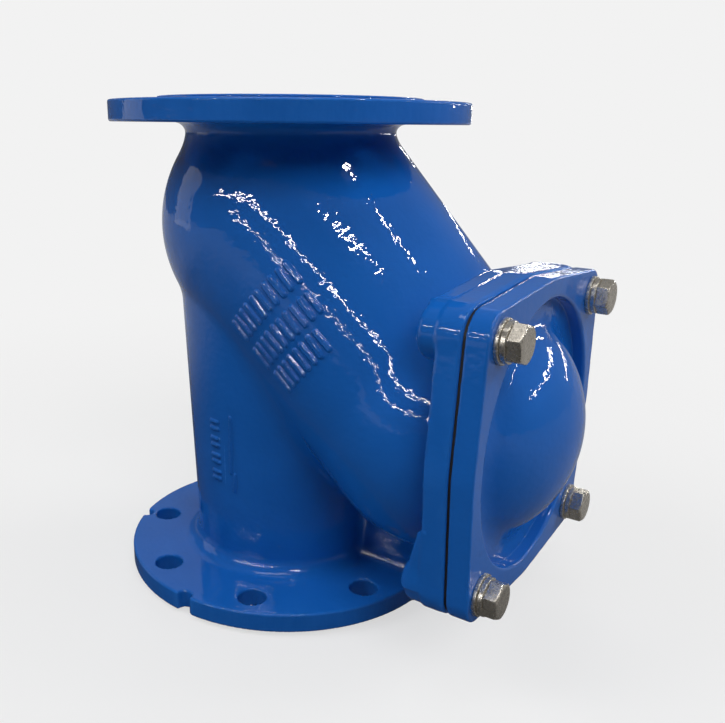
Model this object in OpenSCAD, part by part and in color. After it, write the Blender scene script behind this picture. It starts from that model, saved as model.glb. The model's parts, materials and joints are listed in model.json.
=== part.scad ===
// Flanged ball check valve, DN 150, PN 10.
// The origin is the centre of the outlet flange's raised face. +Z runs up the pipe axis to the
// inlet flange, +X points to the cover, and the XZ plane is the plane of symmetry.

/* [Flanges] */
// Distance between the two raised faces
face_to_face = 400; // [380:5:440]
// Nominal bore of both ports
bore_d = 150; // [140:1:155]
// Outside diameter of both flanges
flange_d = 285; // [280:1:300]
// Thickness of a flange without its raised face
flange_plate_t = 16; // [14:0.5:20]
// Diameter of the raised face
raised_face_d = 211; // [205:1:215]
// Height of the raised face
raised_face_h = 3; // [2:0.5:4]
// Pitch circle diameter of the flange holes
flange_pcd = 240; // [238:1:242]
// Number of holes in each flange
flange_holes = 8; // [4:4:8]
// Diameter of the flange holes
flange_hole_d = 23; // [19:1:24]

/* [Outlet leg and inlet neck] */
// Outside radius of the outlet leg where it leaves its flange
leg_foot_r = 81; // [80:0.5:84]
// Outside radius of the outlet leg at its top end, inside the ball chamber's wall
leg_top_r = 91; // [87:0.5:92]
// Height of the outlet leg's top end
leg_top_z = 255; // [252:1:270]
// Fillet at the foot of the outlet leg
leg_fillet = 14; // [8:1:18]
// Outside radius of the inlet neck
neck_r = 83.5; // [82:0.5:88]
// Fillet between the inlet neck and its flange
neck_fillet = 9; // [6:1:12]

/* [Ball chamber] */
// Centre of the chamber's seat end, as its distance from the pipe axis and its height
seat_end = [3, 302]; // [0:1:310]
// Outside radius of the chamber's seat end
seat_end_r = 107; // [106:0.5:109]
// Inside radius of the chamber's seat end
seat_end_inner_r = 97; // [94:0.5:98]
// Centre of the chamber's cover end on the outside
cover_end = [155, 157]; // [150:1:165]
// Outside radius of the chamber's cover end
cover_end_r = 96; // [95:0.5:98]
// Centre of the chamber's cover end on the inside
cover_end_inner = [155, 161]; // [150:1:165]
// Inside radius of the chamber's cover end
cover_end_inner_r = 87; // [86.5:0.5:88]
// Height of the seat edge above the outlet face
seat_z = 345; // [342:0.5:348]
// Radius of the opening through which the ball is fitted
mouth_r = 87; // [86:0.5:88]
// Thickness of the rib between the outlet flange, the leg and the chamber
rib_t = 12; // [8:1:16]
// Distance of the rib's free edge from the pipe axis
rib_edge_x = 136; // [120:1:140]

/* [Cover and chamber flange] */
// Centre of the dome and of the sphere that the chamber swells into behind the cover
dome_centre = [155, 167]; // [150:1:170]
// Outside radius of the dome
dome_r = 100.5; // [98:0.5:103]
// Inside radius of the dome
dome_inner_r = 91.5; // [90:0.5:93]
// Distance of the cover's outer face from the pipe axis
cover_face_x = 227; // [225:1:230]
// Thickness of the cover plate
cover_t = 16; // [14:0.5:18]
// Thickness of the gasket
gasket_t = 2; // [1:0.5:3]
// How far the gasket's edge stays inside the flange outline
gasket_inset = 2; // [1:0.5:4]
// Thickness of the chamber flange
chamber_flange_t = 17.5; // [15:0.5:20]
// Radius of the round part of the cover outline
cover_outline_r = 115; // [112:1:118]
// Radius of the corner lugs
lug_r = 20; // [18:0.5:22]
// Side of the square that the four cover bolts stand on
bolt_square = 177.5; // [176:0.5:179]
// Radius of the circular recess around the dome
recess_r = 100; // [98:0.5:102]
// Depth of the recess
recess_depth = 10; // [8:0.5:11]
// Radius of the tapped bosses behind the corner lugs
boss_r = 19; // [18:0.5:20]
// Length of the tapped bosses behind the chamber flange
boss_l = 15; // [14:0.5:18]
// Distance from the cover's centre to the webs that join the bosses above and below the chamber
web_at = 70; // [60:1:80]
// Depth of the tapped holes from the gasket face
tapped_depth = 28.5; // [26:0.5:29]

/* [Ball] */
// Radius of the coated ball
ball_r = 84; // [82:0.5:85]
// Thickness of the rubber coating
coating_t = 6; // [4:0.5:8]
// Wall of the hollow metal core
core_wall = 8; // [6:0.5:12]
// Room between the ball and whatever stops it, at both ends of its travel
ball_gap = 0.4; // [0.3:0.1:1]
// Slope of the ball's path where it enters the seat
seat_approach = 64; // [63:0.5:66]

/* [Fasteners] */
// Nominal diameter of the cover bolts
bolt_d = 16; // [16:1:16]
// Length of the cover bolts under the head
bolt_l = 50; // [45:5:50]
// Width across the flats of the hex head
head_af = 24; // [24:1:24]
// Height of the hex head
head_h = 10; // [10:0.5:10]
// Clearance hole for a bolt in the cover and the gasket
cover_hole_d = 18; // [17:0.5:18.5]
// Outside diameter of the flat washers
flat_washer_d = 30; // [28:0.5:30]
// Bore of the flat washers
flat_washer_bore = 17; // [17:0.5:18]
// Thickness of the flat washers
flat_washer_t = 3; // [2.5:0.5:3]
// Outside diameter of the spring washers
spring_washer_d = 27.4; // [26:0.2:28]
// Bore of the spring washers
spring_washer_bore = 16.6; // [16.4:0.2:17]
// Thickness of the spring washers
spring_washer_t = 4; // [3:0.5:4]
// Width of the split in the spring washers
split_w = 2; // [1:0.5:3]
// Slope of the split
split_angle = 20; // [10:5:30]

/* [Rim notches] */
// Radius of the half-round notches in the rim of the outlet flange
notch_r = 6; // [5:0.5:8]
// How far a notch cuts into the rim
notch_depth = 7.5; // [6:0.5:8]
// Directions of the two notches
notch_angles = [270, 203]; // [0:1:360]

/* [Hidden] */
$fn = 96;
// Overlap that keeps joined and cut shapes clean
eps = 0.5;
// Room between a bolt's thread and its tapped hole
thread_gap = 0.1;
// Flat machined on the end of a bolt and the side of its head
chamfer = 1.5;
// Slope of the chamfer on a hex head
head_chamfer_angle = 30;

flange_t = flange_plate_t + raised_face_h;
hole_turn = 180 / flange_holes;
bore_r = bore_d / 2;

joint_x = cover_face_x - cover_t;
gasket_face_x = joint_x - gasket_t;
flange_back_x = gasket_face_x - chamber_flange_t;
bolt_at = bolt_square / 2;
head_seat_x = cover_face_x + flat_washer_t + spring_washer_t;

// The tangent from the round part of the outline to a corner lug leaves both arcs at this angle.
lug_centre_r = bolt_at * sqrt(2);
tangent_angle = 45 - acos((cover_outline_r - lug_r) / lug_centre_r);

// The ball closes on the seat edge from below, and rests at the bottom of the chamber.
seated = [0, seat_z - sqrt(pow(ball_r + ball_gap, 2) - pow(bore_r, 2))];
rest = cover_end_inner - [0, cover_end_inner_r - ball_r - ball_gap];

// Its centre follows an arc that starts nearly level and steepens, so that the ball enters the seat
// without touching the edge of the seat on the cover's side.
path_chord = seated - rest;
chord_slope = atan2(path_chord[1], -path_chord[0]);
path_turn = 2 * (seat_approach - chord_slope);
path_r = norm(path_chord) / 2 / sin(path_turn / 2);
rest_slope = seat_approach - path_turn;
path_centre = rest + path_r * [sin(rest_slope), cos(rest_slope)];

CORNERS = [[-1, 1], [1, 1], [1, -1], [-1, -1]];

enamel = [0.05, 0.25, 0.62];
nickel = [0.62, 0.60, 0.55];
rubber = [0.06, 0.06, 0.07];
light_alloy = [0.72, 0.73, 0.75];

// Turns a shape that is drawn along +Z, so that it runs along +X with the drawing's Y as Z.
module along_x(from_x) {
    translate([from_x, 0, dome_centre[1]])
        rotate([90, 0, 90])
            children();
}

// Outline shared by the cover, the gasket and the chamber flange: a circle joined by tangents to
// four lugs. A quarter of the tangents' ends is worked out, and turned for the other quarters.
function turned(p, angle) = [
    p[0] * cos(angle) - p[1] * sin(angle),
    p[0] * sin(angle) + p[1] * cos(angle)
];

function tangent_ends(big_r, small_r) = [
    [big_r * cos(tangent_angle), big_r * sin(tangent_angle)],
    [bolt_at + small_r * cos(tangent_angle), bolt_at + small_r * sin(tangent_angle)],
    [bolt_at + small_r * sin(tangent_angle), bolt_at + small_r * cos(tangent_angle)],
    [big_r * sin(tangent_angle), big_r * cos(tangent_angle)]
];

module cover_outline(inset = 0) {
    big_r = cover_outline_r - inset;
    small_r = lug_r - inset;
    circle(r = big_r);
    at_corners()
        circle(r = small_r);
    polygon([
        for (quarter = [0:3])
            for (p = tangent_ends(big_r, small_r))
                turned(p, quarter * 90)
    ]);
}

// Places its children at one cover bolt's axis, or at all four, in the drawing of along_x.
module at_corner(i) {
    translate(CORNERS[i] * bolt_at)
        children();
}

module at_corners() {
    for (i = [0:3])
        at_corner(i) children();
}

// A cone between two spheres. Each centre is a distance from the pipe axis and a height.
module round_cone(from, from_r, to, to_r) {
    run = to - from;
    slope = asin((from_r - to_r) / norm(run));
    translate([from[0], 0, from[1]]) {
        sphere(r = from_r);
        rotate([0, atan2(run[0], run[1]), 0])
            translate([0, 0, from_r * sin(slope)])
                cylinder(
                    r1 = from_r * cos(slope),
                    r2 = to_r * cos(slope),
                    h = norm(run) - (from_r - to_r) * sin(slope)
                );
    }
    ball_at(to, to_r);
}

module ball_at(centre, r) {
    translate([centre[0], 0, centre[1]])
        sphere(r = r);
}

// Ring that rounds the corner between a pipe of radius r and a flange below it.
module fillet_ring(r, size) {
    rotate_extrude()
        difference() {
            translate([r - eps, -eps])
                square([size + eps, size + eps]);
            translate([r + size, size])
                circle(r = size);
            translate([r, size])
                square([size + eps, eps]);
        }
}

module pipe_flange() {
    cylinder(d = raised_face_d, h = flange_t);
    translate([0, 0, raised_face_h])
        cylinder(d = flange_d, h = flange_plate_t);
}

module pipe_flange_holes() {
    for (i = [0:flange_holes - 1])
        rotate(hole_turn + i * 360 / flange_holes)
            translate([flange_pcd / 2, 0, -eps])
                cylinder(d = flange_hole_d, h = flange_t + 2 * eps);
}

module outlet_leg() {
    translate([0, 0, flange_t - eps])
        cylinder(r1 = leg_foot_r, r2 = leg_top_r, h = leg_top_z - flange_t);
    translate([0, 0, flange_t])
        fillet_ring(leg_foot_r, leg_fillet);
}

module inlet_neck() {
    translate([0, 0, seat_z])
        cylinder(r = neck_r, h = face_to_face - flange_t - seat_z + eps);
    translate([0, 0, face_to_face - flange_t])
        mirror([0, 0, 1])
            fillet_ring(neck_r, neck_fillet);
}

module chamber_flange() {
    along_x(flange_back_x)
        linear_extrude(chamber_flange_t)
            cover_outline();
    along_x(flange_back_x - boss_l) {
        at_corners()
            cylinder(r = boss_r, h = boss_l + eps);
        linear_extrude(boss_l + eps)
            difference() {
                cover_outline();
                square([2 * cover_outline_r + eps, 2 * web_at], center = true);
                for (side = [-1, 1])
                    translate([side * (bolt_at + cover_outline_r), 0])
                        square([2 * cover_outline_r, 2 * cover_outline_r + eps], center = true);
            }
    }
}

module rib() {
    translate([0, -rib_t / 2, flange_t - eps])
        cube([rib_edge_x, rib_t, cover_end[1] - cover_end_r - flange_t + leg_fillet]);
}

module body_shape() {
    pipe_flange();
    translate([0, 0, face_to_face])
        mirror([0, 0, 1])
            pipe_flange();
    outlet_leg();
    inlet_neck();
    intersection() {
        union() {
            round_cone(seat_end, seat_end_r, cover_end, cover_end_r);
            ball_at(dome_centre, dome_r);
        }
        translate([-flange_d, -flange_d, 0])
            cube([flange_d + gasket_face_x, 2 * flange_d, face_to_face]);
    }
    chamber_flange();
    rib();
}

module rim_notches() {
    for (angle = notch_angles)
        rotate(angle)
            translate([flange_d / 2 + notch_r - notch_depth, 0, -eps])
                cylinder(r = notch_r, h = flange_t + 2 * eps);
}

// The way of the ball from the bottom of the chamber to the seat.
module ball_path() {
    translate([path_centre[0], 0, path_centre[1]])
        rotate([90, 0, 0])
            rotate([0, 0, 270 - seat_approach])
                rotate_extrude(angle = path_turn)
                    translate([path_r, 0])
                        circle(r = ball_r + ball_gap);
}

module body_cavity() {
    // The chamber, cut off flat at the seat edge
    intersection() {
        round_cone(seat_end, seat_end_inner_r, cover_end_inner, cover_end_inner_r);
        translate([-flange_d, -flange_d, 0])
            cube([2 * flange_d, 2 * flange_d, seat_z]);
    }
    ball_path();
    // Both ports
    translate([0, 0, -eps])
        cylinder(r = bore_r, h = face_to_face + 2 * eps);
    // The mouth that the ball goes in through
    along_x(cover_end_inner[0])
        cylinder(r = mouth_r, h = gasket_face_x - cover_end_inner[0] + eps);
}

module valve_body() {
    color(enamel)
        difference() {
            body_shape();
            body_cavity();
            pipe_flange_holes();
            translate([0, 0, face_to_face])
                mirror([0, 0, 1])
                    pipe_flange_holes();
            rim_notches();
            along_x(gasket_face_x - tapped_depth)
                at_corners()
                    cylinder(r = bolt_d / 2 + thread_gap, h = tapped_depth + eps);
        }
}

// The dome and the floor of the recess around it, drawn from the joint face along +Z.
module dome() {
    centre_depth = joint_x - dome_centre[0];
    rotate_extrude()
        difference() {
            intersection() {
                square([recess_r + eps, dome_r]);
                union() {
                    square([recess_r + eps, cover_t - recess_depth]);
                    translate([0, -centre_depth])
                        circle(r = dome_r);
                }
            }
            translate([0, -centre_depth])
                circle(r = dome_inner_r);
        }
}

module cover() {
    color(enamel)
        along_x(joint_x) {
            dome();
            linear_extrude(cover_t)
                difference() {
                    cover_outline();
                    circle(r = recess_r);
                    at_corners()
                        circle(d = cover_hole_d);
                }
        }
}

module cover_gasket() {
    color(rubber)
        along_x(gasket_face_x)
            linear_extrude(gasket_t)
                difference() {
                    cover_outline(gasket_inset);
                    circle(r = mouth_r);
                    at_corners()
                        circle(d = cover_hole_d);
                }
}

module ball_core() {
    color(light_alloy)
        difference() {
            ball_at(rest, ball_r - coating_t);
            ball_at(rest, ball_r - coating_t - core_wall);
        }
}

module ball_coating() {
    color(rubber)
        difference() {
            ball_at(rest, ball_r);
            ball_at(rest, ball_r - coating_t);
        }
}

module cover_bolt(i) {
    head_corner_r = head_af / 2 / cos(30);
    head_flat_r = head_af / 2 - eps;
    cone_h = (head_corner_r + chamfer - head_flat_r) * tan(head_chamfer_angle);
    color(nickel)
        along_x(head_seat_x)
            at_corner(i) {
                intersection() {
                    cylinder(r = head_corner_r, h = head_h, $fn = 6);
                    union() {
                        cylinder(r = head_corner_r + chamfer, h = head_h - cone_h);
                        translate([0, 0, head_h - cone_h])
                            cylinder(r1 = head_corner_r + chamfer, r2 = head_flat_r, h = cone_h);
                    }
                }
                translate([0, 0, chamfer - bolt_l])
                    cylinder(d = bolt_d, h = bolt_l);
                translate([0, 0, -bolt_l])
                    cylinder(r1 = bolt_d / 2 - chamfer, r2 = bolt_d / 2, h = chamfer);
            }
}

module spring_washer(i) {
    color(nickel)
        along_x(cover_face_x + flat_washer_t)
            at_corner(i)
                difference() {
                    cylinder(d = spring_washer_d, h = spring_washer_t);
                    translate([0, 0, -eps])
                        cylinder(d = spring_washer_bore, h = spring_washer_t + 2 * eps);
                    translate([0, 0, spring_washer_t / 2])
                        rotate([split_angle, 0, 0])
                            translate([0, -split_w / 2, -spring_washer_t])
                                cube([spring_washer_d, split_w, 2 * spring_washer_t]);
                }
}

module flat_washer(i) {
    color(nickel)
        along_x(cover_face_x)
            at_corner(i)
                difference() {
                    cylinder(d = flat_washer_d, h = flat_washer_t);
                    translate([0, 0, -eps])
                        cylinder(d = flat_washer_bore, h = flat_washer_t + 2 * eps);
                }
}

valve_body();
cover();
cover_gasket();
ball_core();
ball_coating();
for (i = [0:3]) {
    cover_bolt(i);
    spring_washer(i);
    flat_washer(i);
}
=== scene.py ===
import json
import math

import bmesh
import bpy
import numpy as np
from mathutils import Matrix, Vector


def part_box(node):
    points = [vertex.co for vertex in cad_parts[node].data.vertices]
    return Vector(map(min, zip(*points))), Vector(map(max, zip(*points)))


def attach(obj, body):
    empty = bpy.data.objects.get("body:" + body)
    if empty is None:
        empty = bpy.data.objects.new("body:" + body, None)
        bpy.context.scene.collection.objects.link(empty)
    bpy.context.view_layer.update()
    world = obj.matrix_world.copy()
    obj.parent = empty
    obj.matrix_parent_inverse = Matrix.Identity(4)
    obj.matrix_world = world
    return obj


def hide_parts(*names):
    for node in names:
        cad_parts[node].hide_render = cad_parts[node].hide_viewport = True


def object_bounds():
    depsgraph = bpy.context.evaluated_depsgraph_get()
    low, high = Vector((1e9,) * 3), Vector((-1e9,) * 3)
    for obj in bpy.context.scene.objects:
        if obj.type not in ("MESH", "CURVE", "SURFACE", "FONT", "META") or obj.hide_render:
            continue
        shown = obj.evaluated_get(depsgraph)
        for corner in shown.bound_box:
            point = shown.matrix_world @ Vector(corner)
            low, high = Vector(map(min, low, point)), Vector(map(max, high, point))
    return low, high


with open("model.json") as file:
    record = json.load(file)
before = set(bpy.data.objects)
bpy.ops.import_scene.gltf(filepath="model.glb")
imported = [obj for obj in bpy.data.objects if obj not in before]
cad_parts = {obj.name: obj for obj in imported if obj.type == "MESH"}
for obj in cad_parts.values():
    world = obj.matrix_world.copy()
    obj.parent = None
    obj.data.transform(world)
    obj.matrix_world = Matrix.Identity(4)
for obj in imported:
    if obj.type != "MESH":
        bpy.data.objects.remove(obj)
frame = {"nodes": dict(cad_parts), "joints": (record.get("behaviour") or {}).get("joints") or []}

CAD_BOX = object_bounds()
MM = 0.001
FAR = 1.0

# The pipe axis is +Z from the outlet face at 0, and the cover is towards +X.
FACE_TO_FACE = CAD_BOX[1].z - CAD_BOX[0].z
FLANGE_R = 142.5 * MM
FLANGE_T = 19 * MM
RAISED_R = 105.5 * MM
RAISED_H = 3 * MM
BORE_R = 75 * MM
BOLT_CIRCLE_R = 120 * MM
FLANGE_HOLE_R = 11.5 * MM
FLANGE_HOLES = 8
NOTCH_R = 6 * MM
NOTCH_AT = FLANGE_R - 1.5 * MM
NOTCH_ANGLES = (270, 203)

LEG_FOOT_R = 81 * MM
LEG_TOP_R = 91 * MM
LEG_TOP_Z = 255 * MM
LEG_FILLET = 14 * MM
NECK_R = 83.5 * MM
NECK_FILLET = 9 * MM
SEAT_Z = 345 * MM

# Centres are (x, z) in the plane of symmetry.
SEAT_END = (3 * MM, 302 * MM)
SEAT_END_R = 107 * MM
SEAT_END_INNER_R = 97 * MM
COVER_END = (155 * MM, 157 * MM)
COVER_END_R = 96 * MM
COVER_END_INNER = (155 * MM, 161 * MM)
COVER_END_INNER_R = 87 * MM
DOME = (155 * MM, 167 * MM)
DOME_R = 100.5 * MM
DOME_INNER_R = 91.5 * MM
RIB_T = 12 * MM
RIB_EDGE_X = 136 * MM
BALL_GAP = 0.4 * MM

# How far neighbouring cast shapes are drawn together
LEG_BLEND = 24 * MM
LEG_BLEND_LEAST = 0.5 * MM
LEG_BLEND_MOST = 16 * MM
DOME_BLEND = 8 * MM
NECK_BLEND = 7 * MM
RIB_FILLET = 6 * MM
WEB_BLEND = 6 * MM
RUN_OUT_BLEND = 8 * MM
BOSS_BLEND = 3 * MM
COVER_BLEND = 9 * MM

COVER_BACK_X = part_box("cover")[0].x
COVER_T = 16 * MM
COVER_FACE_X = COVER_BACK_X + COVER_T
GASKET_FACE_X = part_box("cover_gasket")[0].x
CHAMBER_FLANGE_T = 17.5 * MM
CHAMBER_FLANGE_X = GASKET_FACE_X - CHAMBER_FLANGE_T
CHAMBER_FILLET = 7 * MM
OUTLINE_R = 115 * MM
LUG_R = 20 * MM
BOLT_AT = 88.75 * MM
RECESS_R = 100 * MM
RECESS_DEPTH = 10 * MM
BOSS_R = 19 * MM
BOSS_L = 15 * MM
RUN_OUT_L = 45 * MM
RUN_OUT_W = 6 * MM
RUN_OUT_SLOPE = 0.24
RUN_OUT_INSET = 1 * MM
WEB_AT = 70 * MM
TAPPED_DEPTH = 28.5 * MM
TAPPED_R = 8.1 * MM
COVER_HOLE_R = 9 * MM
CORNERS = ((-1, 1), (1, 1), (1, -1), (-1, -1))

# Cast marks. A row is its distance along the chamber, its number of signs, and its shift round it.
MARK_ROWS = ((65 * MM, 5, 1 * MM), (91 * MM, 5, 0), (115 * MM, 4, -5 * MM))
MARK_TURN_R = 101 * MM
MARK_PITCH = 15 * MM
MARK_H = 15 * MM
MARK_STROKE = 4 * MM
MARK_RISE = 2 * MM
MARK_BAR_SHIFT = 0.23 * MARK_PITCH
MARK_BAR_LEAN = 0.5 * MM
MARK_DEPTH = 2 * MM
MARK_SLOPE = 0.9 * MM
LEG_SIGNS = 4
LEG_MARK_X = -12.5 * MM
LEG_MARK_Z = 100.5 * MM
LEG_MARK_PITCH = 15 * MM
LEG_MARK_W = 8 * MM
LEG_BAR_SHIFT = 0.2 * LEG_MARK_PITCH
LEG_BAR_R = 1.3 * MM
LEG_LINE_R = 1.1 * MM
LEG_LINE_AT = 16 * MM

# Grid step and number of faces of the castings' meshes, and the finer edges round the cast marks
BODY_STEP = 2 * MM
BODY_FACES = 130000
COVER_STEP = 1.5 * MM
COVER_FACES = 90000
MARK_EDGE = 1.2 * MM
MARK_REACH = 8 * MM
MARK_MARGIN = 2 * MM
MARK_SETTLE = 0.5 * MM
MARK_PASSES = 6

# How much longer an edge may be for each metre between it and the marks
EDGE_GROWTH = 0.4
REFINE_PASSES = 5

# The least squared slope of a field that its distance is divided by
LEAST_SLOPE = 0.25

# Rounding of the cast edges, under their coating
SOFT_EDGE = 2.5 * MM
CAST_EDGE = 1.6 * MM
MACHINED_EDGE = 1 * MM

# The cover bolts. A head is turned by this many degrees at each corner.
HEAD_AF = 24 * MM
HEAD_H = 10 * MM
HEAD_EDGE = 0.5 * MM
HEAD_CHAMFER = math.radians(30)
HEAD_FLAT_R = HEAD_AF / 2 * 0.94
HEAD_TURNS = (12, -8, 25, 5)
BOLT_R = 8 * MM
BOLT_L = 50 * MM
SHANK_OVERLAP = 1 * MM
BOLT_STEP = 0.7 * MM

# A washer is its outer radius, inner radius and thickness.
FLAT_WASHER = (15 * MM, 8.5 * MM, 3 * MM)
FLAT_EDGE = 0.5 * MM
FLAT_STEP = 0.6 * MM
SPRING_WASHER = (13.7 * MM, 8.3 * MM, 4 * MM)
SPRING_EDGE = 0.7 * MM
SPRING_STEP = 0.5 * MM
SPLIT_SLOPE = math.radians(20)
SPLIT_HALF = 1 * MM
SPLIT_EDGE = 0.4 * MM

# The photo's camera: its place, the way it points, its lens in millimetres and its shift
CAMERA_AT = (0.4046, -0.5508, 0.3818)
CAMERA_HEADING = math.radians(125.29)
CAMERA_TILT = math.radians(-17.95)
CAMERA_ROLL = math.radians(0.62)
CAMERA_LENS = 40.21
CAMERA_SHIFT = (0.0828, 0.0320)
CAMERA_NEAR = 10 * MM

# Colours, linear. The enamel and the rubber vary between two.
ENAMEL = ((0.006, 0.105, 0.43), (0.009, 0.12, 0.48))
# A lighter blue painted on the enamel's convex edges as a highlight.
EDGE_HIGHLIGHT_BLUE = (0.03, 0.19, 0.62)
BOLT_STEEL = (0.74, 0.68, 0.59)
WASHER_STEEL = (0.76, 0.70, 0.61)
CORE_METAL = (0.62, 0.63, 0.65)
WORN_STEEL = (0.85, 0.82, 0.76)
RUBBER = ((0.004, 0.004, 0.005), (0.010, 0.010, 0.011))

# The backdrop that the camera sees, and the floor that diffuse light meets
BACKGROUND = 0.888
FLOOR_GREY = 0.4

# The floor in metres from its middle: where the lit part that the camera sees fades out, and where
# its mirror image in the coating grows lighter, beyond the cover and to the side away from it
FLOOR_HALF = 12.0
FLOOR_DROP = 0.5 * MM
LIT_FLOOR_GREY = 0.8
LIT_FLOOR_SHARE = 0.3
LIT_FLOOR_FADE = (0.2, 1.1)
NEAR_FLOOR_GLOW = 0.05
FAR_FLOOR_GLOW = 0.3
FAR_FLOOR_WAY = (0.55, 0.83, 0)
FAR_FLOOR_FADE = (0.0, 0.5)
SIDE_FLOOR_GLOW = 0.4
SIDE_FLOOR_FADE = (-0.3, -0.9)

# The hall that the coating mirrors, which is lighter in one direction
HALL_TINT = (0.95, 0.98, 1.0)
HALL_WAY = (0.35, 0.6, 0.72)
HALL_FADE = (0.1, 0.95)
HALL_GLOW = (0.1, 0.25)

# The point that every lamp faces, inside the chamber and a little towards the camera
LIT_POINT = Vector((0.08, -0.03, 0.22))
LAMP_DISTANCE = 3.0

# Soft lamps that do not show in the coating: azimuth and elevation in degrees, and share of the
# key's power.
KEY_POWER = 40
SOFT_LAMPS = (
    ("key", -40, 45, 1),
    ("left", -140, 45, 1),
    ("right", 40, 30, 1),
    ("top", 0, 85, 0.5),
    ("back", 130, 35, 0.35),
)
SOFT_SIZE = (1.5, 1.5)

# Lamps that only show in the coating, the rows as streaks and the windows as patches: azimuth and
# elevation in degrees, size, power and lean.
MIRRORED_LAMPS = (
    ("high_row", -98, 25, (2.9, 0.022), 20, 0),
    ("low_row", -96, 12.5, (1.5, 0.014), 4.5, 0),
    ("ceiling_1", -47, 49, (0.55, 0.035), 9, 14),
    ("ceiling_2", 9, 57, (0.3, 0.04), 4.5, 70),
    ("ceiling_3", 14, 62, (0.09, 0.09), 4, 0),
    ("far_row", 38, 21, (3.0, 0.02), 13, 0),
    ("far_low_row", 70, 6, (1.2, 0.03), 5, 0),
    ("edge_row", 98, 9, (1.3, 0.016), 1.5, -34),
    ("back_low_row", 113, 11, (0.9, 0.02), 2.5, 0),
    ("back_window", 140, 32, (2.6, 1.4), 2.4, 0),
    ("side_window", -163, 12, (1.2, 1.6), 4, 0),
    ("roof_window", -100, 75, (1.4, 0.7), 8, 0),
)


# ---- Distance fields: negative inside a shape, in metres --------------------------------------

def filleted(a, b, r):
    """The union of two shapes that meet at about a right angle, with a round fillet."""
    corner = np.hypot(np.maximum(r - a, 0), np.maximum(r - b, 0))
    return np.maximum(r, np.minimum(a, b)) - corner


def blended(a, b, reach):
    """The union of two shapes, drawn together over a distance of reach."""
    near = np.maximum(reach - np.abs(a - b), 0)
    return np.minimum(a, b) - near * near / (4 * reach)


def cut(a, b, r):
    """Shape a without shape b, with its new edges rounded."""
    corner = np.hypot(np.maximum(r + a, 0), np.maximum(r - b, 0))
    return np.minimum(-r, np.maximum(a, -b)) + corner


def slab(side, along, start, end, r):
    """A plate from start to end along one axis, with its outline at side = 0 and rounded edges."""
    over_side = side + r
    over_end = np.abs(along - (start + end) / 2) - (end - start) / 2 + r
    outside = np.hypot(np.maximum(over_side, 0), np.maximum(over_end, 0))
    return outside + np.minimum(np.maximum(over_side, over_end), 0) - r


def ball(x, y, z, centre, r):
    return np.sqrt((x - centre[0]) ** 2 + y ** 2 + (z - centre[1]) ** 2) - r


def round_cone(x, y, z, start, start_r, end, end_r):
    """A cone between two spheres, and the direction across it as (x, y, z)."""
    run = np.array(end) - np.array(start)
    length = np.hypot(*run)
    run = run / length
    dx = x - start[0]
    dz = z - start[1]
    along = dx * run[0] + dz * run[1]
    off_x = dx - along * run[0]
    off_z = dz - along * run[1]
    across = np.sqrt(off_x ** 2 + y ** 2 + off_z ** 2) + 1e-9
    lean = (start_r - end_r) / length
    slope = math.sqrt(1 - lean * lean)
    station = along * slope - across * lean
    side = across * slope + along * lean - start_r
    near_start = np.hypot(across, along) - start_r
    near_end = np.hypot(across, along - length) - end_r
    field = np.where(station < 0, near_start, np.where(station > length * slope, near_end, side))
    return field, (off_x / across, y / across, off_z / across)


def outline(y, z):
    """The outline of the cover: a circle joined by tangents to four lugs."""
    a = np.abs(y)
    b = np.abs(z - DOME[1])
    far = np.maximum(a, b)
    near = np.minimum(a, b)
    turn = math.radians(45) - math.acos((OUTLINE_R - LUG_R) / (BOLT_AT * math.sqrt(2)))
    along = near * math.cos(turn) - far * math.sin(turn)
    lug_along = BOLT_AT * (math.cos(turn) - math.sin(turn))
    line = far * math.cos(turn) + near * math.sin(turn) - OUTLINE_R
    circle = np.hypot(a, b) - OUTLINE_R
    lug = np.hypot(far - BOLT_AT, near - BOLT_AT) - LUG_R
    return np.where(along < 0, circle, np.where(along > lug_along, lug, line))


def corner_circle(y, z, r):
    """Circles round the four cover bolts."""
    return np.hypot(np.abs(y) - BOLT_AT, np.abs(z - DOME[1]) - BOLT_AT) - r


def flange_circle(x, y, r):
    """Circles round the bolt holes of a pipe flange."""
    step = 2 * math.pi / FLANGE_HOLES
    angle = np.mod(np.arctan2(y, x), step) - step / 2
    rho = np.hypot(x, y)
    return np.hypot(rho * np.cos(angle) - BOLT_CIRCLE_R, rho * np.sin(angle)) - r


def chamber(x, y, z):
    """The ball chamber, and the outlet leg blended into it where they meet at an angle."""
    cone, across = round_cone(x, y, z, SEAT_END, SEAT_END_R, COVER_END, COVER_END_R)
    cone = blended(cone, ball(x, y, z, DOME, DOME_R), DOME_BLEND)
    rho = np.hypot(x, y) + 1e-9
    taper = (LEG_TOP_R - LEG_FOOT_R) / (LEG_TOP_Z - FLANGE_T)
    leg = rho - LEG_FOOT_R - taper * (z - FLANGE_T)
    leg = np.maximum(leg, np.maximum(z - LEG_TOP_Z, FLANGE_T / 2 - z))
    same_way = (across[0] * x + across[1] * y) / rho
    reach = np.clip(LEG_BLEND * (1 - same_way), LEG_BLEND_LEAST, LEG_BLEND_MOST)
    return blended(cone, leg, reach)


def rib(x, y, z):
    side = np.maximum(np.abs(y) - RIB_T / 2, np.maximum(x - RIB_EDGE_X, -x))
    return np.maximum(side, np.maximum(z - COVER_END[1] + COVER_END_R / 2, FLANGE_T / 2 - z))


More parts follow.
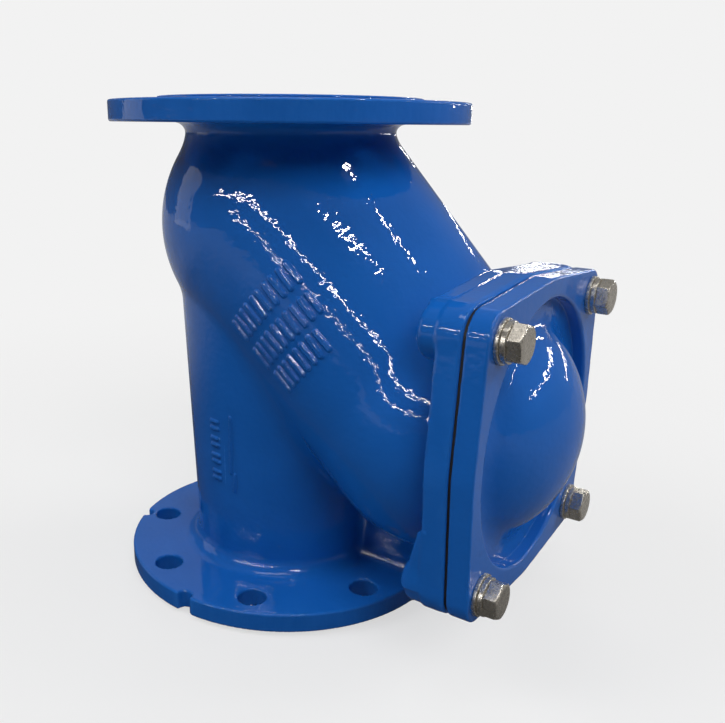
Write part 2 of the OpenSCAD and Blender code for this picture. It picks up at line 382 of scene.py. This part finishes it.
def chamber_flange(x, y, z):
    """The flange behind the cover, with its bosses and webs."""
    edge = outline(y, z)
    plate = slab(edge, x, CHAMBER_FLANGE_X, GASKET_FACE_X, CAST_EDGE)
    back = CHAMBER_FLANGE_X - BOSS_L
    boss = slab(corner_circle(y, z, BOSS_R), x, back, GASKET_FACE_X - CAST_EDGE, 2 * SOFT_EDGE)
    beyond = np.maximum(WEB_AT - np.abs(z - DOME[1]), np.abs(y) - BOLT_AT)
    web = slab(np.maximum(edge, beyond), x, back, GASKET_FACE_X - CAST_EDGE, SOFT_EDGE)
    backs = blended(boss, web, WEB_BLEND)
    # The lower bosses run out upwards along the flange's edge.
    start = DOME[1] - BOLT_AT
    low = np.maximum(z - start - RUN_OUT_L, start - z)
    low = np.maximum(low, BOLT_AT - RUN_OUT_W - np.abs(y))
    run_back = back + RUN_OUT_SLOPE * (z - start)
    run_out = slab(np.maximum(edge + RUN_OUT_INSET, low), x - run_back, 0, BOSS_L, 2 * SOFT_EDGE)
    backs = blended(backs, run_out, RUN_OUT_BLEND)
    return blended(plate, backs, BOSS_BLEND)


def ball_path(x, y, z):
    """The way of the ball, an arc round the joint's axis from its rest to the seat."""
    joint = frame["joints"][0]
    low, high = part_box("ball_coating")
    rest = (low + high) / 2
    pivot = Vector(joint["pos_m"])
    start = math.atan2(rest.z - pivot.z, rest.x - pivot.x)
    half = math.radians(joint["range_deg"][1]) / 2
    dx = x - pivot.x
    dz = z - pivot.z
    away = np.arctan2(dz, dx) - start + half
    along = np.maximum(np.abs(np.arctan2(np.sin(away), np.cos(away))) - half, 0)
    reach = np.hypot(dx, dz)
    path_r = math.hypot(rest.x - pivot.x, rest.z - pivot.z)
    tube_r = (high.x - low.x) / 2 + BALL_GAP
    return np.sqrt((reach - path_r) ** 2 + y ** 2 + (along * path_r) ** 2) - tube_r


def body_field(x, y, z):
    """The valve body."""
    rho = np.hypot(x, y)
    from_end = np.minimum(z, FACE_TO_FACE - z)
    plates = slab(rho - FLANGE_R, from_end, RAISED_H, FLANGE_T, CAST_EDGE)
    notch = np.full_like(x, FAR)
    for angle in NOTCH_ANGLES:
        way = (math.cos(math.radians(angle)), math.sin(math.radians(angle)))
        notch = np.minimum(notch, np.hypot(x - way[0] * NOTCH_AT, y - way[1] * NOTCH_AT) - NOTCH_R)
    plates = cut(plates, np.maximum(notch, z - 2 * FLANGE_T), CAST_EDGE)

    shape = chamber(x, y, z)
    neck = np.maximum(rho - NECK_R, np.maximum(SEAT_Z - z, z - FACE_TO_FACE + FLANGE_T / 2))
    shape = blended(shape, neck, NECK_BLEND)
    shape = filleted(shape, rib(x, y, z), RIB_FILLET)
    shape = filleted(shape, plates, np.where(z < SEAT_Z / 2, LEG_FILLET, NECK_FILLET))
    shape = filleted(shape, chamber_flange(x, y, z), CHAMBER_FILLET)
    shape = np.maximum(shape, x - GASKET_FACE_X)
    shape = np.minimum(shape, slab(rho - RAISED_R, from_end, 0, FLANGE_T / 2, MACHINED_EDGE))

    hollow, _ = round_cone(
        x, y, z, SEAT_END, SEAT_END_INNER_R, COVER_END_INNER, COVER_END_INNER_R
    )
    hollow = np.maximum(hollow, z - SEAT_Z)
    mouth = np.hypot(y, z - DOME[1]) - COVER_END_INNER_R
    hollow = np.minimum(hollow, np.maximum(mouth, COVER_END_INNER[0] - x))
    hollow = np.minimum(np.minimum(hollow, rho - BORE_R), ball_path(x, y, z))
    shape = cut(shape, hollow, MACHINED_EDGE)
    holes = np.maximum(flange_circle(x, y, FLANGE_HOLE_R), from_end - 1.5 * FLANGE_T)
    tapped = np.maximum(corner_circle(y, z, TAPPED_R), GASKET_FACE_X - TAPPED_DEPTH - x)
    return cut(shape, np.minimum(holes, tapped), MACHINED_EDGE)


def pill(u, v, start, end, r):
    """A rounded bar drawn between two points on a surface."""
    run = (end[0] - start[0], end[1] - start[1])
    share = ((u - start[0]) * run[0] + (v - start[1]) * run[1]) / (run[0] ** 2 + run[1] ** 2)
    share = np.clip(share, 0, 1)
    return np.hypot(u - start[0] - share * run[0], v - start[1] - share * run[1]) - r


def chamber_marks(x, y, z):
    """Rows of plain raised bars round the side of the chamber, seen from above its surface."""
    run = np.array(COVER_END) - np.array(SEAT_END)
    run = run / np.hypot(*run)
    dx = x - SEAT_END[0]
    dz = z - SEAT_END[1]
    station = dx * run[0] + dz * run[1]
    across = dz * run[0] - dx * run[1]
    arc = MARK_TURN_R * np.arctan2(across, -y)
    marks = np.full_like(x, FAR)
    for at, signs, shift in MARK_ROWS:
        for i in range(signs):
            middle = shift + (i - (signs - 1) / 2) * MARK_PITCH
            for side in (-1, 1):
                bar = middle + side * MARK_BAR_SHIFT
                ends = ((bar, at - MARK_H / 2), (bar + side * MARK_BAR_LEAN, at + MARK_H / 2))
                marks = np.minimum(marks, pill(arc, station, *ends, MARK_STROKE / 2))
    return np.maximum(marks, COVER_END_R - MARK_DEPTH - np.hypot(across, y))


def leg_marks(x, y, z):
    """A column of short raised bars beside a thin line on the side of the outlet leg."""
    marks = np.full_like(x, FAR)
    for i in range(LEG_SIGNS):
        height = LEG_MARK_Z + i * LEG_MARK_PITCH
        for side in (-1, 1):
            level = height + side * LEG_BAR_SHIFT
            ends = ((LEG_MARK_X - LEG_MARK_W / 2, level), (LEG_MARK_X + LEG_MARK_W / 2, level))
            marks = np.minimum(marks, pill(x, z, *ends, LEG_BAR_R))
    top = LEG_MARK_Z + LEG_SIGNS * LEG_MARK_PITCH - 5 * MM
    line_x = LEG_MARK_X + LEG_LINE_AT
    line = ((line_x, LEG_MARK_Z + 6 * MM), (line_x + 2 * MM, top))
    marks = np.minimum(marks, pill(x, z, *line, LEG_LINE_R))
    tick = ((line_x + 3 * MM, LEG_MARK_Z - 10 * MM), (line_x + 4 * MM, LEG_MARK_Z + 5 * MM))
    marks = np.minimum(marks, pill(x, z, *tick, LEG_LINE_R))
    return np.maximum(marks, LEG_FOOT_R - MARK_DEPTH - np.hypot(x, y))


def all_marks(x, y, z):
    return np.maximum(np.minimum(chamber_marks(x, y, z), leg_marks(x, y, z)), y)


def marked_body_field(x, y, z):
    """The valve body with its cast marks, which rise over a smooth slope."""
    share = np.clip((MARK_SLOPE - all_marks(x, y, z)) / (2 * MARK_SLOPE), 0, 1)
    return body_field(x, y, z) - MARK_RISE * share * share * (3 - 2 * share)


def cover_field(x, y, z):
    """The cover with its dome."""
    plate = slab(outline(y, z), x, COVER_BACK_X, COVER_FACE_X, CAST_EDGE)
    recess = np.hypot(y, z - DOME[1]) - RECESS_R
    floor = COVER_FACE_X - RECESS_DEPTH
    plate = cut(plate, np.maximum(recess, floor - x), SOFT_EDGE)
    dome = np.maximum(ball(x, y, z, DOME, DOME_R), COVER_BACK_X - x)
    shape = blended(plate, dome, COVER_BLEND)
    shape = np.maximum(shape, COVER_BACK_X - x)
    shape = cut(shape, ball(x, y, z, DOME, DOME_INNER_R), MACHINED_EDGE)
    return cut(shape, corner_circle(y, z, COVER_HOLE_R), MACHINED_EDGE)


def bolt_field(x, y, z):
    """A hex bolt along X, with the seat of its head at 0."""
    hexagon = np.abs(y)
    for angle in (60, 120):
        turn = math.radians(angle)
        hexagon = np.maximum(hexagon, np.abs(y * math.cos(turn) + z * math.sin(turn)))
    head = slab(hexagon - HEAD_AF / 2, x, 0, HEAD_H, HEAD_EDGE)
    rho = np.hypot(y, z)
    chamfer = (rho - HEAD_FLAT_R) * math.sin(HEAD_CHAMFER) + (x - HEAD_H) * math.cos(HEAD_CHAMFER)
    head = cut(head, -chamfer, HEAD_EDGE)
    shank = slab(rho - BOLT_R, x, -BOLT_L, SHANK_OVERLAP, MACHINED_EDGE)
    return np.minimum(head, shank)


def washer_field(outer, inner, thickness, edge):
    def field(x, y, z):
        rho = np.hypot(y, z)
        return cut(slab(rho - outer, x, 0, thickness, edge), rho - inner, edge)
    return field


def spring_washer_field(x, y, z):
    outer, inner, thickness = SPRING_WASHER
    ring = washer_field(outer, inner, thickness, SPRING_EDGE)(x, y, z)
    from_split = z * math.cos(SPLIT_SLOPE) - (x - thickness / 2) * math.sin(SPLIT_SLOPE)
    return cut(ring, np.maximum(np.abs(from_split) - SPLIT_HALF, -y), SPLIT_EDGE)


# ---- Meshes from distance fields ---------------------------------------------------------------

def net(field, low, high, step):
    """Vertices and quads of the surface where the field is zero, one vertex in each crossed cell."""
    axes = [np.arange(low[i] - 2 * step, high[i] + 3 * step, step, dtype=np.float32) for i in range(3)]
    values = field(*[a.astype(np.float32) for a in np.meshgrid(*axes, indexing="ij")])
    inside = values < 0
    count = np.zeros([n - 1 for n in inside.shape], np.uint8)
    offsets = [(i, j, k) for i in (0, 1) for j in (0, 1) for k in (0, 1)]
    for i, j, k in offsets:
        count += inside[i:i + count.shape[0], j:j + count.shape[1], k:k + count.shape[2]]
    cells = np.argwhere((count > 0) & (count < 8))
    corner = {o: values[tuple((cells + o).T)] for o in offsets}
    total = np.zeros((len(cells), 3))
    hits = np.zeros(len(cells))
    for axis in range(3):
        for o in offsets:
            if o[axis]:
                continue
            other = tuple(1 if i == axis else o[i] for i in range(3))
            a, b = corner[o], corner[other]
            crossed = (a < 0) != (b < 0)
            share = np.where(crossed, a / np.where(crossed, a - b, 1), 0)
            point = np.array(o, float) * crossed[:, None]
            point[:, axis] += share
            total += point
            hits += crossed
    start = np.array([a[0] for a in axes], float)
    points = start + (cells + total / hits[:, None]) * step
    number = np.full(count.shape, -1, np.int64)
    number[tuple(cells.T)] = np.arange(len(cells))
    quads = []
    for axis in range(3):
        u, v = [i for i in range(3) if i != axis]
        here = [slice(None)] * 3
        there = [slice(None)] * 3
        here[axis] = slice(None, -1)
        there[axis] = slice(1, None)
        edges = np.argwhere(inside[tuple(here)] != inside[tuple(there)])
        edges = edges[(edges[:, u] > 0) & (edges[:, v] > 0)]
        edges = edges[(edges[:, u] < count.shape[u]) & (edges[:, v] < count.shape[v])]
        back_u = np.eye(3, dtype=int)[u]
        back_v = np.eye(3, dtype=int)[v]
        ring = [edges, edges - back_u, edges - back_u - back_v, edges - back_v]
        quad = np.stack([number[tuple(r.T)] for r in ring], 1)
        flip = inside[tuple(edges.T)] == (axis == 1)
        quad[flip] = quad[flip][:, ::-1]
        quads.append(quad)
    return points, np.concatenate(quads)


def gradient(field, points):
    """The outward direction of the field at each point."""
    reach = 0.05 * MM
    sides = []
    for axis in range(3):
        move = np.zeros(3)
        move[axis] = reach
        ahead = field(*(points + move).T)
        behind = field(*(points - move).T)
        sides.append((ahead - behind) / (2 * reach))
    return np.stack(sides, 1)


def settle(field, points, most, passes=3):
    """Moves the points onto the surface of the field, by at most that far at each pass."""
    for _ in range(passes):
        way = gradient(field, points)
        size = np.maximum((way ** 2).sum(1), LEAST_SLOPE)
        shift = np.clip(field(*points.T) / size, -most, most)
        points = points - way * shift[:, None]
    return points


def vertices_of(mesh):
    flat = np.empty(len(mesh.vertices) * 3)
    mesh.vertices.foreach_get("co", flat)
    return flat.reshape(-1, 3)


def shaped(name, field, box, step, faces=None):
    """A smooth mesh object of the field's surface, thinned to a number of faces."""
    points, quads = net(field, *box, step)
    points = settle(field, points, step / 3)
    mesh = bpy.data.meshes.new(name)
    mesh.from_pydata(points.tolist(), [], quads.tolist())
    piece = bpy.data.objects.new(name, mesh)
    bpy.context.scene.collection.objects.link(piece)
    if faces and len(quads) * 2 > faces:
        thin = piece.modifiers.new("thin", "DECIMATE")
        thin.ratio = faces / (2 * len(quads))
        view = bpy.context.evaluated_depsgraph_get()
        piece.data = bpy.data.meshes.new_from_object(piece.evaluated_get(view))
        piece.modifiers.clear()
        piece.data.name = name
    finish_surface(piece, field, step / 4)
    return piece


def refine(mesh, near, edge, reach):
    """Splits the edges longer than edge where the field near is negative, and less so out to reach."""
    for _ in range(REFINE_PASSES):
        work = bmesh.new()
        work.from_mesh(mesh)
        middles = np.array([(e.verts[0].co + e.verts[1].co) / 2 for e in work.edges])
        lengths = np.array([e.calc_length() for e in work.edges])
        clear = np.maximum(near(*middles.T) - lengths / 2, 0)
        chosen = (clear < reach) & (lengths > edge + EDGE_GROWTH * clear)
        long = [e for e, use in zip(work.edges, chosen) if use]
        bmesh.ops.subdivide_edges(work, edges=long, cuts=1, use_grid_fill=True)
        bmesh.ops.triangulate(work, faces=[f for f in work.faces if len(f.verts) > 3])
        work.to_mesh(mesh)
        work.free()


def finish_surface(piece, field, most, passes=3):
    """Settles a mesh on its field and shades it with the field's own directions."""
    mesh = piece.data
    points = settle(field, vertices_of(mesh), most, passes)
    mesh.vertices.foreach_set("co", points.ravel())
    mesh.update()
    mesh.shade_smooth()
    way = gradient(field, points)
    way /= np.maximum(np.linalg.norm(way, axis=1), 1e-9)[:, None]
    mesh.normals_split_custom_set_from_vertices(way.tolist())


# ---- Materials ----------------------------------------------------------------------------------

def new_material(name):
    material = bpy.data.materials.new(name)
    material.use_nodes = True
    tree = material.node_tree
    shader = tree.nodes["Principled BSDF"]
    place = tree.nodes.new("ShaderNodeTexCoord").outputs["Object"]
    return material, tree, shader, place


def noise(tree, place, size, detail=2.0, rough=0.5):
    """A noise whose features are about that many metres across."""
    node = tree.nodes.new("ShaderNodeTexNoise")
    node.inputs["Scale"].default_value = 1 / size
    node.inputs["Detail"].default_value = detail
    node.inputs["Roughness"].default_value = rough
    tree.links.new(place, node.inputs["Vector"])
    return node.outputs["Fac"]


def spread(tree, value, low, high, start=0.3, end=0.7):
    """Maps a noise from start and end to low and high."""
    node = tree.nodes.new("ShaderNodeMapRange")
    node.inputs["From Min"].default_value = start
    node.inputs["From Max"].default_value = end
    node.inputs["To Min"].default_value = low
    node.inputs["To Max"].default_value = high
    tree.links.new(value, node.inputs["Value"])
    return node.outputs["Result"]


def mixed(tree, amount, first, second):
    node = tree.nodes.new("ShaderNodeMix")
    node.data_type = "RGBA"
    tree.links.new(amount, node.inputs["Factor"])
    for socket, colour in ((node.inputs["A"], first), (node.inputs["B"], second)):
        if isinstance(colour, tuple):
            socket.default_value = (*colour, 1)
        else:
            tree.links.new(colour, socket)
    return node.outputs["Result"]


def bumps(tree, shader, layers, coat=False):
    """Stacks bump layers of (height, distance in metres)."""
    normal = None
    for height, distance in layers:
        node = tree.nodes.new("ShaderNodeBump")
        node.inputs["Distance"].default_value = distance
        node.inputs["Strength"].default_value = 1.0
        tree.links.new(height, node.inputs["Height"])
        if normal:
            tree.links.new(normal, node.inputs["Normal"])
        normal = node.outputs["Normal"]
    tree.links.new(normal, shader.inputs["Normal"])
    if coat:
        tree.links.new(normal, shader.inputs["Coat Normal"])


def edge_wear_and_highlight(tree):
    """About 1 on convex edges and 0 elsewhere: the mask of the painted edge highlight on the enamel and of
    the real wear on the steel.
    """
    node = tree.nodes.new("ShaderNodeNewGeometry")
    return spread(tree, node.outputs["Pointiness"], 0, 1, 0.53, 0.62)


def enamel():
    """Thick glossy blue coating over a rough casting, lighter on its convex edges as a painted highlight."""
    material, tree, shader, place = new_material("blue_enamel")
    tone = spread(tree, noise(tree, place, 0.06, 3), 0, 1)
    blue = mixed(tree, tone, *ENAMEL)
    # Painted highlight: the convex edges are mixed halfway towards a lighter blue.
    thin = edge_wear_and_highlight(tree)
    blue = mixed(tree, spread(tree, thin, 0, 0.5, 0, 1), blue, EDGE_HIGHLIGHT_BLUE)
    tree.links.new(blue, shader.inputs["Base Color"])
    tree.links.new(spread(tree, noise(tree, place, 0.02, 4), 0.36, 0.48), shader.inputs["Roughness"])
    shader.inputs["Specular IOR Level"].default_value = 0
    shader.inputs["Coat Weight"].default_value = 1.0
    shader.inputs["Coat Roughness"].default_value = 0.03
    shader.inputs["Coat IOR"].default_value = 1.5
    layers = [
        (noise(tree, place, 0.035, 2), 0.4 * MM),
        (noise(tree, place, 0.009, 1), 0.13 * MM),
        (noise(tree, place, 0.0045, 1), 0.14 * MM),
        (noise(tree, place, 0.0012, 1), 0.004 * MM),
    ]
    bumps(tree, shader, layers, coat=True)
    return material


def plated(name, colour, dull):
    """Satin steel with stains, handling marks and brighter edges."""
    material, tree, shader, place = new_material(name)
    tone = spread(tree, noise(tree, place, 0.006, 4), 0, 1)
    steel = mixed(tree, tone, colour, tuple(c * 0.8 for c in colour))
    stain = spread(tree, noise(tree, place, 0.0016, 5, 0.6), 0, 0.8, 0.52, 0.66)
    steel = mixed(tree, stain, steel, tuple(c * 0.45 for c in colour))
    steel = mixed(tree, edge_wear_and_highlight(tree), steel, WORN_STEEL)
    tree.links.new(steel, shader.inputs["Base Color"])
    shader.inputs["Metallic"].default_value = 0.9
    tree.links.new(spread(tree, noise(tree, place, 0.003, 4), dull, dull + 0.14), shader.inputs["Roughness"])
    layers = [
        (noise(tree, place, 0.002, 3), 0.03 * MM),
        (noise(tree, place, 0.0005, 2), 0.008 * MM),
    ]
    bumps(tree, shader, layers)
    return material


def rubber():
    material, tree, shader, place = new_material("black_rubber")
    tone = spread(tree, noise(tree, place, 0.01, 4), 0, 1)
    black = mixed(tree, tone, *RUBBER)
    tree.links.new(black, shader.inputs["Base Color"])
    tree.links.new(spread(tree, noise(tree, place, 0.004, 4), 0.48, 0.66), shader.inputs["Roughness"])
    layers = [
        (noise(tree, place, 0.003, 3), 0.05 * MM),
        (noise(tree, place, 0.0006, 2), 0.012 * MM),
    ]
    bumps(tree, shader, layers)
    return material


def paint(piece, material):
    piece.data.materials.clear()
    piece.data.materials.append(material)


# ---- Pieces -------------------------------------------------------------------------------------

def box_of(node):
    low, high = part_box(node)
    return np.array(low), np.array(high)


def place_fastener(name, field, box, step, seat_x, corner, turn):
    """A piece drawn along X from 0, turned about its axis and set at one corner of the cover."""
    piece = shaped(name, field, box, step)
    centre = Vector((seat_x, CORNERS[corner][0] * BOLT_AT, DOME[1] + CORNERS[corner][1] * BOLT_AT))
    piece.data.transform(Matrix.Translation(centre) @ Matrix.Rotation(turn, 4, "X"))
    return piece


def finished(piece, node, material):
    """Puts a piece in the place of its CAD node."""
    paint(piece, material)
    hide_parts(node)
    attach(piece, "housing")


def build_castings(material):
    coarse = 1
    body = shaped("body_casting", body_field, box_of("valve_body"), BODY_STEP * coarse, BODY_FACES)
    refine(body.data, lambda x, y, z: all_marks(x, y, z) - MARK_MARGIN, MARK_EDGE, MARK_REACH)
    finish_surface(body, marked_body_field, MARK_SETTLE, MARK_PASSES)
    finished(body, "valve_body", material)
    cover = shaped("cover_casting", cover_field, box_of("cover"), COVER_STEP * coarse, COVER_FACES)
    finished(cover, "cover", material)


def washer_box(washer):
    outer, _, thickness = washer
    return np.array((0, -outer, -outer)), np.array((thickness, outer, outer))


def build_fasteners(bolt_metal, washer_metal):
    """A bolt, a split spring washer and a flat washer at each corner of the cover."""
    head_r = HEAD_AF / 2 / math.cos(math.radians(30))
    bolt_box = (np.array((-BOLT_L, -head_r, -head_r)), np.array((HEAD_H, head_r, head_r)))
    flat_field = washer_field(*FLAT_WASHER, FLAT_EDGE)
    for corner, degrees in enumerate(HEAD_TURNS):
        number = corner + 1
        turn = math.radians(degrees)
        seat = COVER_FACE_X
        name = f"plain_washer_{number}"
        flat = place_fastener(name, flat_field, washer_box(FLAT_WASHER), FLAT_STEP, seat, corner, turn)
        finished(flat, f"flat_washer_{number}", washer_metal)
        seat += FLAT_WASHER[2]
        name = f"split_washer_{number}"
        box = washer_box(SPRING_WASHER)
        split = place_fastener(name, spring_washer_field, box, SPRING_STEP, seat, corner, 0)
        finished(split, f"spring_washer_{number}", washer_metal)
        seat += SPRING_WASHER[2]
        name = f"hex_bolt_{number}"
        bolt = place_fastener(name, bolt_field, bolt_box, BOLT_STEP, seat, corner, turn)
        finished(bolt, f"cover_bolt_{number}", bolt_metal)


# ---- Stage, light and camera --------------------------------------------------------------------

def fade(tree, value, start, end, low, high):
    """A value that runs smoothly from low at start to high at end."""
    node = tree.nodes.new("ShaderNodeMapRange")
    node.interpolation_type = "SMOOTHSTEP"
    node.inputs["From Min"].default_value = start
    node.inputs["From Max"].default_value = end
    node.inputs["To Min"].default_value = low
    node.inputs["To Max"].default_value = high
    tree.links.new(value, node.inputs["Value"])
    return node.outputs["Result"]


def mix_shaders(tree, amount, first, second):
    node = tree.nodes.new("ShaderNodeMixShader")
    tree.links.new(amount, node.inputs["Fac"])
    tree.links.new(first, node.inputs[1])
    tree.links.new(second, node.inputs[2])
    return node.outputs[0]


def plain_shader(tree, kind, grey, strength=None):
    node = tree.nodes.new(kind)
    node.inputs["Color"].default_value = (grey, grey, grey, 1)
    if strength is not None:
        node.inputs["Strength"].default_value = strength
    return node.outputs[0]


def mirrored_floor(tree, place):
    """The floor as the coating mirrors it, dark near the valve."""
    along = tree.nodes.new("ShaderNodeVectorMath")
    along.operation = "DOT_PRODUCT"
    along.inputs[1].default_value = FAR_FLOOR_WAY
    tree.links.new(place, along.inputs[0])
    near = plain_shader(tree, "ShaderNodeEmission", 1, NEAR_FLOOR_GLOW)
    far = plain_shader(tree, "ShaderNodeEmission", 1, FAR_FLOOR_GLOW)
    mirrored = mix_shaders(tree, fade(tree, along.outputs["Value"], *FAR_FLOOR_FADE, 0, 1), near, far)
    apart = tree.nodes.new("ShaderNodeSeparateXYZ")
    tree.links.new(place, apart.inputs[0])
    aside = plain_shader(tree, "ShaderNodeEmission", 1, SIDE_FLOOR_GLOW)
    return mix_shaders(tree, fade(tree, apart.outputs["X"], *SIDE_FLOOR_FADE, 0, 1), mirrored, aside)


def floor_material():
    """Pale and fading into the backdrop for the camera, grey for diffuse light, clear from below."""
    material = bpy.data.materials.new("floor")
    material.use_nodes = True
    tree = material.node_tree
    tree.nodes.remove(tree.nodes["Principled BSDF"])
    place = tree.nodes.new("ShaderNodeTexCoord").outputs["Object"]
    length = tree.nodes.new("ShaderNodeVectorMath")
    length.operation = "LENGTH"
    tree.links.new(place, length.inputs[0])
    glow = plain_shader(tree, "ShaderNodeEmission", BACKGROUND, 1)
    lit = plain_shader(tree, "ShaderNodeBsdfDiffuse", LIT_FLOOR_GREY)
    share = fade(tree, length.outputs["Value"], *LIT_FLOOR_FADE, LIT_FLOOR_SHARE, 0)
    seen = mix_shaders(tree, share, glow, lit)
    rays = tree.nodes.new("ShaderNodeLightPath")
    grey = plain_shader(tree, "ShaderNodeBsdfDiffuse", FLOOR_GREY)
    above = mix_shaders(tree, rays.outputs["Is Diffuse Ray"], mirrored_floor(tree, place), grey)
    above = mix_shaders(tree, rays.outputs["Is Camera Ray"], above, seen)
    side = tree.nodes.new("ShaderNodeNewGeometry")
    clear = tree.nodes.new("ShaderNodeBsdfTransparent").outputs[0]
    whole = mix_shaders(tree, side.outputs["Backfacing"], above, clear)
    tree.links.new(whole, tree.nodes["Material Output"].inputs["Surface"])
    return material


def build_floor():
    mesh = bpy.data.meshes.new("floor")
    half = FLOOR_HALF
    corners = [(-half, -half, 0), (half, -half, 0), (half, half, 0), (-half, half, 0)]
    mesh.from_pydata(corners, [], [(0, 1, 2, 3)])
    floor = bpy.data.objects.new("floor", mesh)
    floor.location.z = CAD_BOX[0].z - FLOOR_DROP
    bpy.context.scene.collection.objects.link(floor)
    paint(floor, floor_material())


def build_world():
    """A dim hall that shows in the coating, lighter over the cover, with a plain pale backdrop."""
    world = bpy.data.worlds.new("hall")
    bpy.context.scene.world = world
    world.use_nodes = True
    tree = world.node_tree
    place = tree.nodes.new("ShaderNodeTexCoord").outputs["Generated"]
    towards = tree.nodes.new("ShaderNodeVectorMath")
    towards.operation = "DOT_PRODUCT"
    towards.inputs[1].default_value = HALL_WAY
    tree.links.new(place, towards.inputs[0])
    hall = tree.nodes["Background"]
    hall.inputs["Color"].default_value = (*HALL_TINT, 1)
    glow = fade(tree, towards.outputs["Value"], *HALL_FADE, *HALL_GLOW)
    tree.links.new(glow, hall.inputs["Strength"])
    dark = plain_shader(tree, "ShaderNodeBackground", 0, 0)
    backdrop = plain_shader(tree, "ShaderNodeBackground", BACKGROUND, 1)
    rays = tree.nodes.new("ShaderNodeLightPath")
    whole = mix_shaders(tree, rays.outputs["Is Diffuse Ray"], hall.outputs[0], dark)
    whole = mix_shaders(tree, rays.outputs["Is Camera Ray"], whole, backdrop)
    tree.links.new(whole, tree.nodes["World Output"].inputs["Surface"])


def lamp(name, azimuth, elevation, size, power, lean=0):
    """A rectangular light in a direction from the valve, in degrees. It is level unless it leans."""
    a, e = math.radians(azimuth), math.radians(elevation)
    back = Vector((math.cos(a) * math.cos(e), math.sin(a) * math.cos(e), math.sin(e)))
    level = Vector((-math.sin(a), math.cos(a), 0))
    side = Matrix.Rotation(math.radians(lean), 3, back) @ level
    turn = Matrix((side, back.cross(side), back)).transposed()
    data = bpy.data.lights.new(name, "AREA")
    data.shape = "RECTANGLE"
    data.size, data.size_y = size
    data.energy = power
    light = bpy.data.objects.new(name, data)
    bpy.context.scene.collection.objects.link(light)
    light.matrix_world = Matrix.Translation(LIT_POINT + back * LAMP_DISTANCE) @ turn.to_4x4()
    light.visible_camera = False
    return light


def build_lights():
    for name, azimuth, elevation, share in SOFT_LAMPS:
        light = lamp(name, azimuth, elevation, SOFT_SIZE, share * KEY_POWER)
        light.visible_glossy = False
    for name, azimuth, elevation, size, power, lean in MIRRORED_LAMPS:
        light = lamp(name, azimuth, elevation, size, power, lean)
        light.visible_diffuse = False


def build_camera():
    data = bpy.data.cameras.new("camera")
    data.lens = CAMERA_LENS
    data.shift_x, data.shift_y = CAMERA_SHIFT
    data.clip_start = CAMERA_NEAR
    camera = bpy.data.objects.new("camera", data)
    bpy.context.scene.collection.objects.link(camera)
    flat = math.cos(CAMERA_TILT)
    ahead = Vector(
        (flat * math.cos(CAMERA_HEADING), flat * math.sin(CAMERA_HEADING), math.sin(CAMERA_TILT))
    )
    level = ahead.cross(Vector((0, 0, 1))).normalized()
    upright = level.cross(ahead)
    right = level * math.cos(CAMERA_ROLL) + upright * math.sin(CAMERA_ROLL)
    up = right.cross(ahead)
    turn = Matrix((right, up, -ahead)).transposed()
    camera.matrix_world = Matrix.Translation(Vector(CAMERA_AT)) @ turn.to_4x4()
    bpy.context.scene.camera = camera


def main():
    build_camera()
    build_castings(enamel())
    washer_metal = plated("washer_metal", WASHER_STEEL, 0.2)
    build_fasteners(plated("bolt_metal", BOLT_STEEL, 0.2), washer_metal)
    black = rubber()
    for node in ("cover_gasket", "ball_coating"):
        paint(frame["nodes"][node], black)
    paint(frame["nodes"]["ball_core"], plated("core_metal", CORE_METAL, 0.3))
    build_floor()
    build_world()
    build_lights()
    bpy.context.scene.view_settings.view_transform = "Standard"


main()
